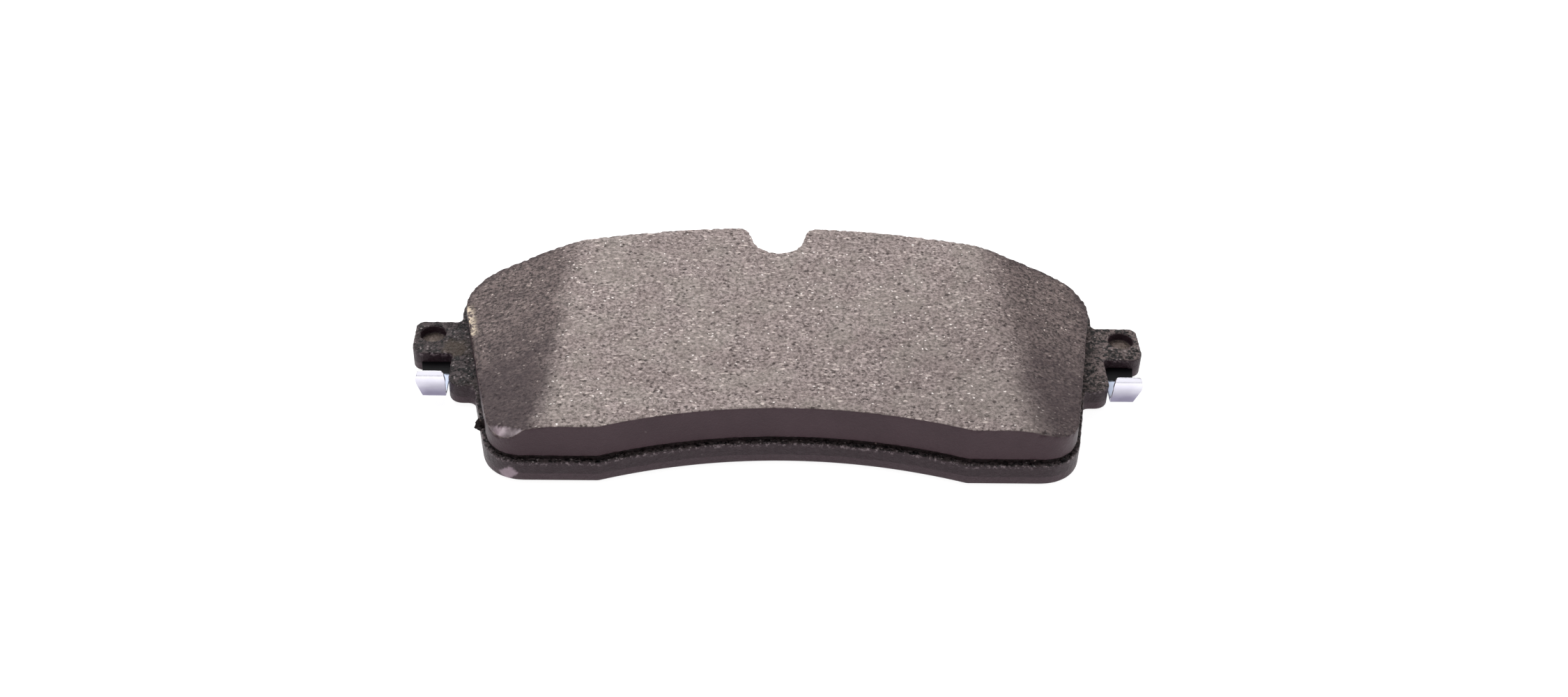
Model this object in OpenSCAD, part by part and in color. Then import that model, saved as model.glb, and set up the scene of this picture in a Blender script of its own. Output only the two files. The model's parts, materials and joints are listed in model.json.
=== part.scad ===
// Disc brake pad: a steel backing plate with two stepped ears, a chamfered
// friction block on its underlayer, a bonded noise shim and a sprung clip
// staked into a pocket behind each ear tab.
// X runs along the pad, +Y points away from the disc's axle, +Z points at the
// disc. The origin is under the middle of the plate, on the shim's outer face.

/* [Backing plate] */
// Length over the tips of the two ear tabs
pad_w = 190; // [160:1:230]
// Height from the inner edge's flats to the crown of the outer edge
pad_h = 85.8; // [72:0.1:104]
// Thickness of the steel plate
plate_t = 6; // [5:0.1:8]
// Lean of each body side, opening towards the outer edge, in degrees
side_lean = 11.5; // [8:0.5:13]
// Radius of the corners at the ends of the inner edge
inner_corner_r = 10.5; // [5:0.5:13]
// Radius of the corners at the ends of the outer edge
outer_corner_r = 13.5; // [8:0.5:15]

/* [Inner and outer edges] */
// Radius of the hollow arc along the inner edge
inner_r = 135; // [120:1:170]
// Rise of that arc above the inner edge's flats
inner_rise = 7.7; // [5:0.1:9]
// Radius of the crown along the outer edge
outer_r = 209; // [180:1:260]
// Radius of the round notch in the middle of the outer edge
notch_r = 5.9; // [4:0.1:8]
// Depth of the notch's centre below the crown
notch_sink = 5.8; // [5:0.1:8]
// Radius on the two lips of the notch
lip_r = 3; // [1:0.1:3.5]
// Outward lean of the notch's sides above its round bottom, in degrees
notch_flare = 15; // [0:1:25]

/* [Ears] */
// Depth of the tab's outer face below the crown
tab_drop = 30.7; // [28:0.1:34]
// Height of the tab, between its inner and outer faces
tab_h = 13.3; // [12:0.1:16]
// How far the tab stands out past the shoulder below it
tab_l = 10.6; // [10:0.1:13]
// Depth of the shoulder's lower face below the tab's inner face
shoulder_drop = 13.1; // [11:0.1:15]
// How far the shoulder stands out past the body side at its lower face
shoulder_l = 6.8; // [5:0.1:8]
// Radius of the tab's corner nearer the outer edge
tab_outer_r = 2; // [1:0.1:3]
// Radius of the tab's corner nearer the inner edge
tab_inner_r = 3; // [1:0.1:4]
// Radius of the shoulder's corner
shoulder_r = 3.5; // [1:0.1:4.5]
// Radius in the hollow corners beside the tab and the shoulder
root_r = 2; // [0.5:0.1:2.5]
// Radius of the hollow corner between tab and shoulder
step_r = 0.6; // [0.3:0.1:1.5]

/* [Pressed recess and staked boss] */
// Diameter of the round recess pressed into the tab's face
recess_d = 6.5; // [5:0.1:7]
// Depth of the recess
recess_depth = 2.3; // [1.5:0.1:2.4]
// Distance from the tab's tip to the recess's centre
recess_in = 4.7; // [4.4:0.1:5.5]
// Distance from the tab's outer face to the recess's centre
recess_down = 5.1; // [5:0.1:6]
// Steel left between the tab's face and the pocket behind it
web_t = 2.9; // [2.7:0.1:3.6]
// Diameter of the boss that passes through the clip
boss_d = 4.2; // [3.5:0.1:4.6]
// Diameter of the boss's staked head
stake_d = 5.6; // [5:0.1:6.4]
// Thickness of the staked head
stake_t = 0.9; // [0.6:0.1:1.1]

/* [Spring clips] */
// Thickness of the clip strip
clip_t = 0.7; // [0.5:0.05:0.9]
// Width of the strip where it lies in the pocket
clip_w = 7.2; // [6.4:0.1:8]
// Radius of the clip's round eye about the boss
eye_r = 3.6; // [3.4:0.1:3.9]
// Clearance between the strip and the walls of its pocket
clip_play = 0.2; // [0.1:0.05:0.4]
// Clearance between the boss and the hole in the eye
boss_play = 0.05; // [0.02:0.01:0.15]
// Flat length of strip outside the tab before it slopes down
clip_flat = 4.5; // [1:0.1:5.5]
// Distance from the tab's inner face to the strip's lower bend
bend_reach = 10.3; // [8:0.1:11.5]
// Height of the lower bend's centre line above the plate's back
bend_lift = 0.45; // [0.45:0.05:1]
// Width of the leaf at the lower bend
leaf_low_w = 5.9; // [5:0.1:7.6]
// Width of the leaf at its contact fold
leaf_fold_w = 7.6; // [6:0.1:8]
// Width of the leaf at its tip
leaf_tip_w = 6.4; // [5:0.1:7.6]
// Rise of the leaf from the lower bend to the contact fold
leaf_rise = 8.55; // [6:0.05:10]
// Lean of the leaf towards the inner edge over that rise
leaf_lean = 4.5; // [3:0.1:6]
// Rise of the folded-back tip
tip_rise = 1.7; // [1:0.1:3]
// How far the tip folds back towards the tab
tip_back = 1.2; // [0.5:0.1:2]
// Running gap between the clip's base and the leaf's rounded root
flex_gap = 0.05; // [0.03:0.01:0.1]

/* [Friction block and underlayer] */
// Thickness of the underlayer
under_t = 1.3; // [0.8:0.1:2.5]
// Thickness of the friction block at its full face
friction_t = 9.4; // [8.5:0.1:14]
// Shelf of bare plate around the friction block
shelf = 1; // [0.5:0.1:2]
// How far the underlayer's edge sits back under the friction block
under_inset = 0.5; // [0.2:0.1:1]
// Radius of the friction block's corners at the outer edge
block_outer_r = 13.5; // [8:0.5:15]
// Radius of the friction block's corners at the inner edge
block_inner_r = 9; // [4:0.5:12]
// Length of each end chamfer, measured along the inner flats
chamfer_l = 13; // [8:0.1:16]
// Angle of the end chamfers
chamfer_deg = 15; // [10:0.5:15]
// Skew of the chamfer ridges: they close up towards the outer edge
ridge_skew = 2.6; // [0:0.1:4]

/* [Retention plugs] */
// Diameter of the plate's holes that the underlayer fills
plug_d = 10; // [6:0.5:14]
// Distance of the plug centres from the middle of the pad
plug_x = 42; // [30:0.5:48]
// Distance of the lower row of plugs from the inner flats
plug_low = 22; // [16:0.5:24]
// Distance of the upper row of plugs below the crown
plug_high = 27; // [24:0.5:30]

/* [Noise shim] */
// Thickness of the rubber facing on the shim's outer side
facing_t = 0.2; // [0.15:0.05:0.3]
// Thickness of the shim's steel core
core_t = 0.5; // [0.4:0.05:0.8]
// Thickness of the adhesive between shim and plate
glue_t = 0.15; // [0.1:0.05:0.2]
// How far the shim's edge sits inside the plate's body edge
shim_inset = 3; // [2:0.5:4]
// How far the adhesive stops short of the shim's edge
glue_inset = 1; // [0.5:0.5:2]

/* [Hidden] */

EPS = 0.01;          // overshoot of cuts past the faces they open
ARC_STEPS = 24;      // segments along half of the inner or outer arc
FILLET_STEPS = 8;    // segments around a corner
NOTCH_STEPS = 14;    // segments around half of the notch
ROUND_FN = 64;       // facets of bores, bosses and plugs

// Levels, from the floor up
plate_z = facing_t + core_t + glue_t;
plate_top = plate_z + plate_t;
block_z = plate_top + under_t;
top_z = block_z + friction_t;

// The ears, measured down from the crown
tip_x = pad_w / 2;
shoulder_x = tip_x - tab_l;
tab_top_y = pad_h - tab_drop;
tab_y = tab_top_y - tab_h;
shoulder_y = tab_y - shoulder_drop;
recess_x = tip_x - recess_in;
recess_y = tab_top_y - recess_down;

// The body sides lean out from the foot of the inner edge
lean = tan(side_lean);
foot_x = shoulder_x - shoulder_l - shoulder_y * lean;
inner_cy = inner_rise - inner_r;
outer_cy = pad_h - outer_r;
notch_cy = pad_h - notch_sink;

// The hollow corner above the tab ends before the body's outer corner begins
root_room = max(side_end().y - EPS - tab_top_y, 0) / cos(side_lean);
top_root_r = min(root_r, root_room * tan((90 - side_lean) / 2));

// The highest points of the plate are just outside the notch's rounded lips
lip_reach = lip_r * tan((90 - notch_flare) / 2);
crown_x = lip_vertex(0).x + lip_reach;
crown_y = outer_cy + sqrt(pow(outer_r, 2) - pow(crown_x, 2));

// The clip's side profile: lengthways (Y) and height (Z) along its centre line
pocket_w = clip_w + 2 * clip_play;
pocket_depth = plate_t - web_t;
clip_x = shoulder_x + pocket_w / 2;
base_z = plate_z + pocket_depth - clip_t / 2;
slope_y = tab_y - clip_flat;
bend_y = tab_y - bend_reach;
bend_z = plate_z + bend_lift;
fold_y = bend_y - leaf_lean;
fold_z = bend_z + leaf_rise;
tip_y = fold_y + tip_back;
tip_z = fold_z + tip_rise;

// Centred over the origin
module seat() translate([0, -crown_y / 2, 0]) children();

function unit(v) = v / norm(v);

// The arc that replaces corner b of the path a, b, c
function fillet(a, b, c, r) =
    let (
        u = unit(a - b), v = unit(c - b),
        half = acos(u * v) / 2,
        mid = b + unit(u + v) * r / sin(half),
        from = b + u * r / tan(half) - mid,
        turn = (180 - 2 * half) * sign(cross(b - a, c - b)),
        start = atan2(from.y, from.x)
    )
    [for (i = [0 : FILLET_STEPS]) mid + r * [cos(start + turn * i / FILLET_STEPS),
                                            sin(start + turn * i / FILLET_STEPS)]];

// A closed path of [x, y, corner radius] points with its corners rounded
function rounded(path) =
    let (n = len(path))
    [for (i = [0 : n - 1])
        let (a = path[(i + n - 1) % n], b = path[i], c = path[(i + 1) % n])
        each b[2] > 0 ? fillet([a.x, a.y], [b.x, b.y], [c.x, c.y], b[2]) : [[b.x, b.y]]];

// Where the body side meets the outer arc, both set in by g
function outer_vertex(g) =
    let (
        s = foot_x - g / cos(side_lean), r = outer_r - g,
        a = 1 + lean * lean, b = s * lean - outer_cy,
        c = s * s + outer_cy * outer_cy - r * r,
        y = (-b + sqrt(b * b - a * c)) / a
    )
    [s + lean * y, y];

// Where the notch's leaning side meets the outer arc, both set in by g
function lip_vertex(g) =
    let (
        side = [sin(notch_flare), cos(notch_flare)],
        from = (notch_r + g) * [side.y, -side.x] + [0, notch_cy - outer_cy],
        along = from * side
    )
    from + side * (sqrt(along * along - from * from + pow(outer_r - g, 2)) - along) + [0, outer_cy];

// Where the body side ends and the arc of its outer corner begins
function side_end() =
    let (
        corner = outer_vertex(0),
        a = asin((corner.x - 1.1 * outer_corner_r) / outer_r)
    )
    fillet([foot_x, 0], corner, [outer_r * sin(a), outer_cy + outer_r * cos(a)], outer_corner_r)[0];

// The stepped ear, going up the body side from shoulder to tab
function ear() = [
    [foot_x + shoulder_y * lean, shoulder_y, root_r],
    [shoulder_x, shoulder_y, shoulder_r],
    [shoulder_x, tab_y, step_r],
    [tip_x, tab_y, tab_inner_r],
    [tip_x, tab_top_y, tab_outer_r],
    [foot_x + tab_top_y * lean, tab_top_y, top_root_r]
];

// Right half of the pad's outline set in by g, from the middle of the inner
// arc round to the middle of the notch
function half_outline(g, inner_corner, outer_corner, with_ear) =
    let (
        hollow_r = inner_r + g, crown_r = outer_r - g, round_r = notch_r + g,
        hollow_end = acos((g - inner_cy) / hollow_r),
        corner = outer_vertex(g),
        // the arc stops short of the corner, to leave room for its fillet
        arc_from = asin((corner.x - 1.1 * outer_corner) / crown_r),
        lip = lip_vertex(g),
        arc_to = asin((lip.x + 1.1 * lip_reach) / crown_r)
    )
    concat(
        [for (i = [0 : ARC_STEPS]) let (a = hollow_end * i / ARC_STEPS)
            [hollow_r * sin(a), inner_cy + hollow_r * cos(a), 0]],
        [[foot_x - g / cos(side_lean) + g * lean, g, inner_corner]],
        with_ear ? ear() : [],
        [[corner.x, corner.y, outer_corner]],
        [for (i = [0 : ARC_STEPS]) let (a = arc_from + (arc_to - arc_from) * i / ARC_STEPS)
            [crown_r * sin(a), outer_cy + crown_r * cos(a), 0]],
        [[lip.x, lip.y, lip_r]],
        [for (i = [0 : NOTCH_STEPS]) let (a = -notch_flare - (90 - notch_flare) * i / NOTCH_STEPS)
            [round_r * cos(a), notch_cy + round_r * sin(a), 0]]
    );

module outline(g, inner_corner, outer_corner, with_ear = false) {
    half = half_outline(g, inner_corner, outer_corner, with_ear);
    last = len(half) - 1;
    other = [for (i = [last - 1 : -1 : 1]) [-half[i].x, half[i].y, half[i][2]]];
    polygon(rounded(concat(half, other)));
}

module slab(z, t) translate([0, 0, z]) linear_extrude(t) children();

// Both sides of the pad from one right-hand shape
module pair() {
    children();
    mirror([1, 0, 0]) children();
}

// Plan of the clip's base, grown by g: a straight strip with an eye round the boss
module base_plan(from_y, g = 0) {
    translate([clip_x - clip_w / 2 - g, from_y])
        square([clip_w + 2 * g, recess_y - from_y]);
    translate([recess_x, recess_y]) circle(r = eye_r + g, $fn = ROUND_FN);
}

module plug_holes() {
    pair() for (y = [plug_low, pad_h - plug_high])
        translate([plug_x, y]) circle(d = plug_d, $fn = ROUND_FN);
}

// The boss pressed down out of the web, with its head staked under the clip
module boss() {
    stem = clip_t + EPS;
    translate([recess_x, recess_y, plate_z + pocket_depth - stem])
        cylinder(d = boss_d, h = stem + EPS, $fn = ROUND_FN);
    translate([recess_x, recess_y, plate_z + pocket_depth - clip_t - stake_t])
        cylinder(d1 = boss_d, d2 = stake_d, h = stake_t, $fn = ROUND_FN);
}

module backing_plate() color("#2b2a2c") seat() {
    difference() {
        slab(plate_z, plate_t) outline(0, inner_corner_r, outer_corner_r, true);
        slab(plate_z - 1, plate_t + 2) plug_holes();
        pair() {
            translate([recess_x, recess_y, plate_top - recess_depth])
                cylinder(d = recess_d, h = recess_depth + 1, $fn = ROUND_FN);
            slab(plate_z - 1, pocket_depth + 1) base_plan(tab_y - 1, clip_play);
        }
    }
    pair() boss();
}

module underlayer() color("#1d1a1a") seat() {
    inset = shelf + under_inset;
    slab(plate_top, under_t) outline(inset, block_inner_r - under_inset, block_outer_r - under_inset);
    slab(plate_z, plate_t) plug_holes();
}

// The wedge that one end chamfer takes off
module end_chamfer() {
    ridge_x = foot_x + shelf * (lean - 1 / cos(side_lean)) - chamfer_l;
    translate([ridge_x, shelf, top_z]) rotate([0, 0, ridge_skew]) rotate([0, chamfer_deg, 0])
        translate([0, -pad_h / 2, 0]) cube([pad_w / 2, 2 * pad_h, friction_t * 2]);
}

module friction_block() color("#6b605c") seat() difference() {
    slab(block_z, friction_t) outline(shelf, block_inner_r, block_outer_r);
    pair() end_chamfer();
}

module shim_layer(z, t, g) seat() slab(z, t) outline(g, inner_corner_r - 2, outer_corner_r - 2);

module shim_adhesive() color("#8d8a80")
    shim_layer(facing_t + core_t, glue_t, shim_inset + glue_inset);

module shim_steel_core() color("#8f9296") shim_layer(facing_t, core_t, shim_inset);

module shim_rubber_facing() color("#26282b") shim_layer(0, facing_t, shim_inset);

// One straight stretch of strip seen from the side
module stretch(a, b) {
    run = b - a;
    translate(a) rotate(atan2(run.y, run.x)) translate([0, -clip_t / 2]) square([norm(run), clip_t]);
}

module bend_round(p) translate(p) circle(d = clip_t, $fn = ROUND_FN);

// A side profile in Y and Z given width along X, centred on the clip
module across(w) translate([clip_x, 0, 0]) rotate([90, 0, 90]) linear_extrude(w, center = true) children();

module clip_base() {
    bend = [bend_y, bend_z];
    slope = [slope_y, base_z];
    stop = bend + unit(slope - bend) * (clip_t / 2 + flex_gap);
    // the flat base in the pocket, with the boss through its eye
    difference() {
        slab(base_z - clip_t / 2, clip_t) base_plan(slope_y);
        translate([recess_x, recess_y, plate_z])
            cylinder(d = boss_d + 2 * boss_play, h = pocket_depth, $fn = ROUND_FN);
    }
    // the slope down to the lower bend, narrowing to the leaf's width
    intersection() {
        across(clip_w) {
            stretch(stop, slope);
            bend_round(slope);
        }
        slab(0, plate_top) polygon([
            [clip_x - leaf_low_w / 2, bend_y - 1], [clip_x + leaf_low_w / 2, bend_y - 1],
            [clip_x + clip_w / 2, slope_y], [clip_x + clip_w / 2, slope_y + 1],
            [clip_x - clip_w / 2, slope_y + 1], [clip_x - clip_w / 2, slope_y]
        ]);
    }
}

module clip_leaf() {
    bend = [bend_y, bend_z];
    fold = [fold_y, fold_z];
    tip = [tip_y, tip_z];
    intersection() {
        across(max(leaf_low_w, leaf_fold_w, leaf_tip_w)) {
            stretch(bend, fold);
            stretch(fold, tip);
            for (p = [bend, fold, tip]) bend_round(p);
        }
        // widths seen from the front
        translate([clip_x, tab_y, 0]) rotate([90, 0, 0]) linear_extrude(tab_y) polygon([
            [-leaf_low_w / 2, 0], [leaf_low_w / 2, 0], [leaf_low_w / 2, bend_z],
            [leaf_fold_w / 2, fold_z], [leaf_tip_w / 2, tip_z + clip_t],
            [-leaf_tip_w / 2, tip_z + clip_t], [-leaf_fold_w / 2, fold_z], [-leaf_low_w / 2, bend_z]
        ]);
    }
}

module right_clip_base() color("#c9ccd2") seat() clip_base();
module right_clip_leaf() color("#d5d8de") seat() clip_leaf();
module left_clip_base() color("#c9ccd2") seat() mirror([1, 0, 0]) clip_base();
module left_clip_leaf() color("#d5d8de") seat() mirror([1, 0, 0]) clip_leaf();

backing_plate();
underlayer();
friction_block();
shim_adhesive();
shim_steel_core();
shim_rubber_facing();
left_clip_base();
left_clip_leaf();
right_clip_base();
right_clip_leaf();
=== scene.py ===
"""Looks of a disc brake pad: a powder-coated backing plate, a ground friction block on its
underlayer, a bonded noise shim and two bright spring clips, on a white table.

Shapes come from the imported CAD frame. Lengths inside the geometry functions are in
millimetres, and become metres when a mesh is made.
"""

import json
import math

import bpy
import numpy as np
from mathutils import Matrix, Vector, kdtree, noise
from mathutils.geometry import delaunay_2d_cdt


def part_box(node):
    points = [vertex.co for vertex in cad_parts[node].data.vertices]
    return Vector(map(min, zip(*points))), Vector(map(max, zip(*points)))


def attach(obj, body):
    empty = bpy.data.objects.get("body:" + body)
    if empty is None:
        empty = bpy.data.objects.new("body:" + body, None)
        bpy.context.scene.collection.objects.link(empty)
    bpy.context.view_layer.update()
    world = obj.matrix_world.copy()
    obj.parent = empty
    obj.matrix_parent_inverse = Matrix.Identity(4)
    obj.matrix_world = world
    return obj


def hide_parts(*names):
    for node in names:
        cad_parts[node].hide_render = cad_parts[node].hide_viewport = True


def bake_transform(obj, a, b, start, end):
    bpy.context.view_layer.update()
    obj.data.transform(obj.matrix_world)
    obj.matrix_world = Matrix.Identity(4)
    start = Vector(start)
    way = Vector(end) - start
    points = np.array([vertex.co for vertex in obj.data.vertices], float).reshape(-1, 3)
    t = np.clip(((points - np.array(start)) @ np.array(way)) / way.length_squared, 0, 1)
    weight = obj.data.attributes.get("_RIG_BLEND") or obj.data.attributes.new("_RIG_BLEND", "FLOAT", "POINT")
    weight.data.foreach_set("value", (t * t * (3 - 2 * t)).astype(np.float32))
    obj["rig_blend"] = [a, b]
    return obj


MM = 0.001

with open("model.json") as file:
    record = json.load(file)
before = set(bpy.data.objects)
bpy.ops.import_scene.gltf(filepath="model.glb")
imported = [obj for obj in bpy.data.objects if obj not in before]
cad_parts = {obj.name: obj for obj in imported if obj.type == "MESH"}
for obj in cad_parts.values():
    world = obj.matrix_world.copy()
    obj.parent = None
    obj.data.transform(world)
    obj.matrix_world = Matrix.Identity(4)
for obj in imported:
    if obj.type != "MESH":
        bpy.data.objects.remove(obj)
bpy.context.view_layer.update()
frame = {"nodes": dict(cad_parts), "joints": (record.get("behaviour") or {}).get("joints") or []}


# ---------------------------------------------------------------- reading the frame


def box(node):
    """Lowest and highest corner of a CAD node, in mm."""
    low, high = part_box(node)
    return np.array(low) / MM, np.array(high) / MM


def flat_loops(node, z):
    """The closed loops round a CAD node's flat face at height z, longest first.
    Each keeps the material on its left, so an outer loop runs anticlockwise."""
    mesh = frame["nodes"][node].data
    edges = set()
    for face in mesh.polygons:
        if abs(face.normal.z) < 0.99 or abs(face.center.z / MM - z) > 0.01:
            continue
        ring = [tuple(round(c / MM, 3) for c in mesh.vertices[i].co.xy) for i in face.vertices]
        if face.normal.z < 0:
            ring.reverse()
        for a, b in zip(ring, ring[1:] + ring[:1]):
            if (b, a) in edges:
                edges.remove((b, a))
            else:
                edges.add((a, b))
    after = dict(sorted(edges))
    loops = []
    while after:
        loop = [next(iter(after))]
        while loop[-1] in after:
            loop.append(after.pop(loop[-1]))
        loops.append(np.array(loop[:-1]))
    return sorted(loops, key=len, reverse=True)


# ---------------------------------------------------------------- plane outlines


def resample(loop, step, soften=3):
    """A closed loop with even steps, its facets and sharp corners slightly eased."""
    closed = np.vstack([loop, loop[:1]])
    length = np.r_[0, np.cumsum(np.linalg.norm(np.diff(closed, axis=0), axis=1))]
    at = np.linspace(0, length[-1], max(12, round(length[-1] / step)), endpoint=False)
    even = np.stack([np.interp(at, length, closed[:, i]) for i in (0, 1)], 1)
    for _ in range(soften):
        even = (np.roll(even, 1, 0) + 2 * even + np.roll(even, -1, 0)) / 4
    return even


def into_material(loop):
    """Unit normals of a loop that point to its left, where the material is."""
    ahead = np.roll(loop, -1, 0) - np.roll(loop, 1, 0)
    left = np.stack([-ahead[:, 1], ahead[:, 0]], 1)
    return left / np.linalg.norm(left, axis=1)[:, None]


def moved_in(loop, distance):
    """A loop moved into the material, by less where a tight corner leaves no room."""
    ahead, behind = np.roll(loop, -1, 0) - loop, loop - np.roll(loop, 1, 0)
    step = np.linalg.norm(ahead, axis=1)
    turn = np.arctan2(
        behind[:, 0] * ahead[:, 1] - behind[:, 1] * ahead[:, 0], (behind * ahead).sum(1)
    )
    room = np.minimum(distance, 0.7 * step / np.maximum(turn, 1e-6))
    for _ in range(int(distance / step.mean()) + 1):
        room = np.min([np.roll(room, -1), room, np.roll(room, 1)], 0)
    for _ in range(3):
        room = (np.roll(room, -1) + 2 * room + np.roll(room, 1)) / 4
    return loop + into_material(loop) * room[:, None]


def inside(points, loops):
    """True for each point with material under it, by counting the edges to its right."""
    hits = np.zeros(len(points), int)
    for loop in loops:
        a, b = loop, np.roll(loop, -1, 0)
        slope = (b[:, 0] - a[:, 0]) / np.where(b[:, 1] == a[:, 1], 1, b[:, 1] - a[:, 1])
        for first in range(0, len(points), 4000):
            p = points[first : first + 4000, None]
            crosses = (a[:, 1] > p[..., 1]) != (b[:, 1] > p[..., 1])
            right = p[..., 0] < a[:, 0] + (p[..., 1] - a[:, 1]) * slope
            hits[first : first + 4000] += (crosses & right).sum(1)
    return hits % 2 == 1


def nearest(points, outline):
    """Index of the outline's point closest to each point, and the distance to it."""
    tree = kdtree.KDTree(len(outline))
    for i, p in enumerate(outline):
        tree.insert((p[0], p[1], 0), i)
    tree.balance()
    found = [tree.find((p[0], p[1], 0)) for p in points.tolist()]
    return np.array([f[1] for f in found]), np.array([f[2] for f in found])


def scatter(loops, fine, coarse=None, rim=3.0, dense=None, seed=1):
    """Jittered points inside loops, a fine step apart. With a coarse step, points deeper than
    rim are that far apart instead, except where dense(points) is true."""
    rng = np.random.default_rng(seed)
    outline = np.vstack(loops)
    low, high = outline.min(0), outline.max(0)
    kept = []
    for step in (fine, coarse) if coarse else (fine,):
        rows = np.arange(low[1], high[1], step * math.sqrt(3) / 2)
        columns = np.arange(low[0], high[0], step)
        x, y = np.meshgrid(columns, rows)
        x = x + (np.arange(len(rows)) % 2)[:, None] * step / 2
        points = np.stack([x.ravel(), y.ravel()], 1) + rng.uniform(-0.15, 0.15, (x.size, 2)) * step
        points = points[inside(points, loops)]
        depth = nearest(points, outline)[1]
        keep = depth > 0.55 * step
        if coarse:
            near = depth < rim
            if dense:
                near |= dense(points)
            keep &= near if step == fine else ~near
        kept.append(points[keep])
    return np.vstack(kept)


def fill(loops, points):
    """Triangles that cover the material between loops through the extra points, as indices
    into the loops' points followed by the extra ones."""
    everything = np.vstack([*loops, points])
    edges, first = [], 0
    for loop in loops:
        n = len(loop)
        edges += [(first + i, first + (i + 1) % n) for i in range(n)]
        first += n
    found = delaunay_2d_cdt([tuple(p) for p in everything], edges, [], 1, 1e-7, True)
    back = [origins[0] for origins in found[3]]
    triangles = np.array([[back[i] for i in face] for face in found[2]])
    middles = everything[triangles].mean(1)
    return triangles[inside(middles, loops)]


# ---------------------------------------------------------------- solids


def level(z):
    """A flat height, in the form that solid() takes."""
    return lambda points: np.full(len(points), float(z))


def solid(loops, profile, bottom, top, over, under):
    """A closed shell between two heights. Each profile row is (inset, share, lift): a ring of
    wall moved into the material by inset, at that share of the height plus lift. over and
    under are the extra points in the top and bottom faces. Returns points and faces."""
    points, faces, rows = [], [], []

    def add(flat, z):
        first = sum(len(p) for p in points)
        points.append(np.c_[flat, z])
        return first + np.arange(len(flat))

    for loop in loops:
        wall = []
        for inset, share, lift in profile:
            flat = moved_in(loop, inset)
            low, high = bottom(flat), top(flat)
            wall.append(add(flat, low + share * (high - low) + lift))
        for a, b in zip(wall, wall[1:]):
            faces += np.stack([a, np.roll(a, -1), np.roll(b, -1), b], 1).tolist()
        rows.append(wall)
    for end, extra, height in ((0, under, bottom), (-1, over, top)):
        inset = profile[end][0]
        ids = np.concatenate([wall[end] for wall in rows] + [add(extra, height(extra))])
        rims = [moved_in(loop, inset) for loop in loops]
        triangles = ids[fill(rims, extra)]
        faces += (triangles[:, ::-1] if end == 0 else triangles).tolist()
    return np.vstack(points), faces


def wall_profile(low_radius, high_radius, levels, steps=3):
    """Profile rows of a whole wall with both of its edges rounded."""
    turns = [math.pi / 2 * i / steps for i in range(steps + 1)]
    low = [(low_radius * (1 - math.sin(a)), 0, low_radius * (1 - math.cos(a))) for a in turns]
    high = [(high_radius * (1 - math.cos(a)), 1, high_radius * (math.sin(a) - 1)) for a in turns]
    middle = [(0, i / levels, 0) for i in range(1, levels)]
    return low + middle + high


def turned(profile, centre, segments=48):
    """A closed shape of revolution from (radius, z) rows that start and end on the axis."""
    angles = np.linspace(0, 2 * math.pi, segments, endpoint=False)
    points, faces, rings = [], [], []
    for radius, z in profile:
        first = len(points)
        if radius == 0:
            points.append((centre[0], centre[1], z))
            rings.append([first] * segments)
        else:
            points += [
                (centre[0] + radius * math.cos(a), centre[1] + radius * math.sin(a), z)
                for a in angles
            ]
            rings.append(list(range(first, first + segments)))
    for low, high in zip(rings, rings[1:]):
        for i in range(segments):
            j = (i + 1) % segments
            face = list(dict.fromkeys([low[i], low[j], high[j], high[i]]))
            faces.append(face)
    return np.array(points), faces


def joined(*shapes):
    """Several shapes as one list of points and faces."""
    points, faces, first = [], [], 0
    for p, f in shapes:
        points.append(np.asarray(p))
        faces += [[first + i for i in face] for face in f]
        first += len(p)
    return np.vstack(points), faces


def fractal(points, size, octaves=3, seed=0):
    """Fractal noise at each point, roughly -1 to 1, with features of about size mm."""
    shift = Vector((31.7 * seed, 17.3 * seed, 11.1 * seed))
    return np.array(
        [noise.fractal(Vector(p) / size + shift, 1.0, 2.0, octaves) for p in points.tolist()]
    )


def near(points, centre, radius):
    """1 at centre, falling smoothly to 0 at radius."""
    t = np.clip(1 - np.linalg.norm(points - np.array(centre), axis=1) / radius, 0, 1)
    return t * t * (3 - 2 * t)


def ease(value, start, end):
    """0 before start, 1 after end and a smooth step between them."""
    t = np.clip((value - start) / (end - start), 0, 1)
    return t * t * (3 - 2 * t)


def make(name, points, faces, material=None, crease=40):
    """A mesh object from points in mm, shaded smooth except across edges over crease degrees."""
    mesh = bpy.data.meshes.new(name)
    mesh.from_pydata((np.asarray(points) * MM).tolist(), [], faces)
    mesh.validate()
    mesh.shade_smooth()
    mesh.set_sharp_from_angle(angle=math.radians(crease))
    piece = bpy.data.objects.new(name, mesh)
    bpy.context.scene.collection.objects.link(piece)
    if material:
        mesh.materials.append(material)
    return piece


def vertices(piece):
    """A piece's vertices and their normals, as arrays, with the vertices in mm."""
    mesh = piece.data
    points = np.zeros(len(mesh.vertices) * 3, np.float32)
    mesh.vertices.foreach_get("co", points)
    normals = np.zeros(len(mesh.vertices) * 3, np.float32)
    mesh.vertex_normals.foreach_get("vector", normals)
    return points.reshape(-1, 3) / MM, normals.reshape(-1, 3)


def reshape(piece, points):
    piece.data.vertices.foreach_set("co", (points * MM).astype(np.float32).ravel())
    piece.data.update()


def mark(piece, name, values):
    """A value per vertex that the piece's material reads."""
    layer = piece.data.attributes.new(name, "FLOAT", "POINT")
    layer.data.foreach_set("value", np.asarray(values, np.float32))


def cut(piece, cutters):
    """Takes the cutters away from the piece."""
    tool = make("cutter", *cutters)
    change = piece.modifiers.new("cut", "BOOLEAN")
    change.operation = "DIFFERENCE"
    change.solver = "EXACT"
    change.object = tool
    bpy.context.view_layer.update()
    done = piece.evaluated_get(bpy.context.evaluated_depsgraph_get())
    mesh = bpy.data.meshes.new_from_object(done)
    piece.modifiers.clear()
    piece.data = mesh
    bpy.data.objects.remove(tool)


# ---------------------------------------------------------------- materials


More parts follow.
